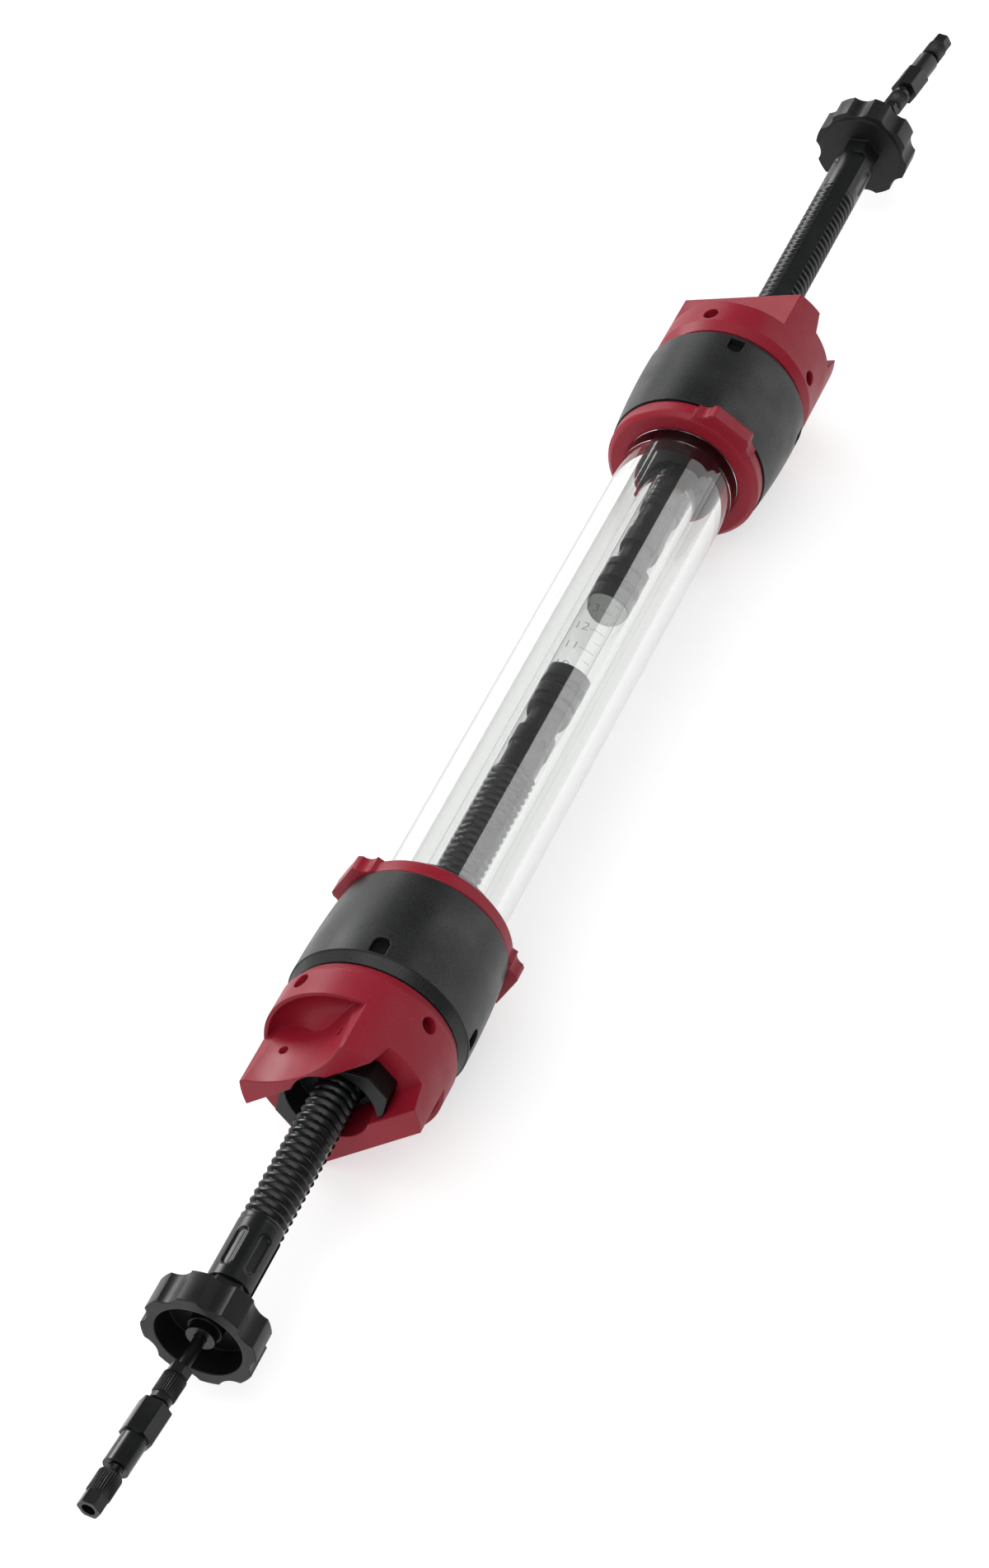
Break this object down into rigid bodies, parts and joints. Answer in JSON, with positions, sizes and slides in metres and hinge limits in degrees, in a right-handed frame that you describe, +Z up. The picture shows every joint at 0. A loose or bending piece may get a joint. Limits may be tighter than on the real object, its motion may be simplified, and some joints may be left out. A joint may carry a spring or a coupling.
{
  "type": "laboratory chromatography column",
  "caption": "Clear-jacketed glass chromatography column with red lock caps, black end sleeves and sliding threaded adapters with knobs and capillary ports.",
  "frame": {"origin": "centre of the bounding box's underside: the plane that the column lies on", "axes": "+X along the column towards its far end, +Z up as the column lies on its two end sleeves"},
  "size_m": [0.7693, 0.0638, 0.062],
  "materials": {
    "column_glass": "clear polished glass",
    "clear_jacket": "clear polished acrylic",
    "red_plastic": "satin moulded plastic, crimson",
    "sleeve_black": "satin moulded plastic, dark grey",
    "black_plastic": "semi-gloss moulded plastic, black",
    "seal_rubber": "soft black rubber",
    "porous_white": "porous pale plastic disc"
  },
  "bodies": {
    "column": {"column_tube": "column_glass", "jacket": "clear_jacket", "tube_holder_far": "black_plastic", "end_seal_far": "seal_rubber", "grip_ring_far": "red_plastic", "end_sleeve_far": "sleeve_black", "tube_holder_near": "black_plastic", "end_seal_near": "seal_rubber", "grip_ring_near": "red_plastic", "end_sleeve_near": "sleeve_black"},
    "lock_far": {"lock_cap_far": "red_plastic", "lock_nut_far": "black_plastic"},
    "adapter_far": {"adapter_rod_far": "black_plastic", "seal_pusher_far": "black_plastic", "seal_ring_far": "seal_rubber", "plunger_far": "black_plastic", "tip_head_far": "black_plastic", "bed_support_far": "porous_white", "capillary_far": "black_plastic", "connector_far": "black_plastic", "union_far": "black_plastic", "stop_plug_far": "black_plastic"},
    "handle_far": {"knob_far": "black_plastic"},
    "lock_near": {"lock_cap_near": "red_plastic", "lock_nut_near": "black_plastic"},
    "adapter_near": {"adapter_rod_near": "black_plastic", "seal_pusher_near": "black_plastic", "seal_ring_near": "seal_rubber", "plunger_near": "black_plastic", "tip_head_near": "black_plastic", "bed_support_near": "porous_white", "capillary_near": "black_plastic", "connector_near": "black_plastic", "union_near": "black_plastic", "stop_plug_near": "black_plastic"},
    "handle_near": {"knob_near": "black_plastic"}
  },
  "joints": [
    {"name": "lock_turn_far", "type": "hinge", "parent": "column", "child": "lock_far", "pos_m": [0.14306, 0, 0.0308], "axis": [1, 0, 0], "range_deg": [0, 90]},
    {"name": "adapter_slide_far", "type": "slide", "parent": "column", "child": "adapter_far", "axis": [1, 0, 0], "range_m": [-0.018, 0.062]},
    {"name": "knob_turn_far", "type": "hinge", "parent": "adapter_far", "child": "handle_far", "pos_m": [0.29981, 0, 0.0308], "axis": [1, 0, 0], "range_deg": [0, 180]},
    {"name": "lock_turn_near", "type": "hinge", "parent": "column", "child": "lock_near", "pos_m": [-0.18934, 0, 0.0308], "axis": [-1, 0, 0], "range_deg": [0, 90]},
    {"name": "adapter_slide_near", "type": "slide", "parent": "column", "child": "adapter_near", "axis": [-1, 0, 0], "range_m": [-0.018, 0.098]},
    {"name": "knob_turn_near", "type": "hinge", "parent": "adapter_near", "child": "handle_near", "pos_m": [-0.30769, 0, 0.0308], "axis": [-1, 0, 0], "range_deg": [0, 180]}
  ]
}
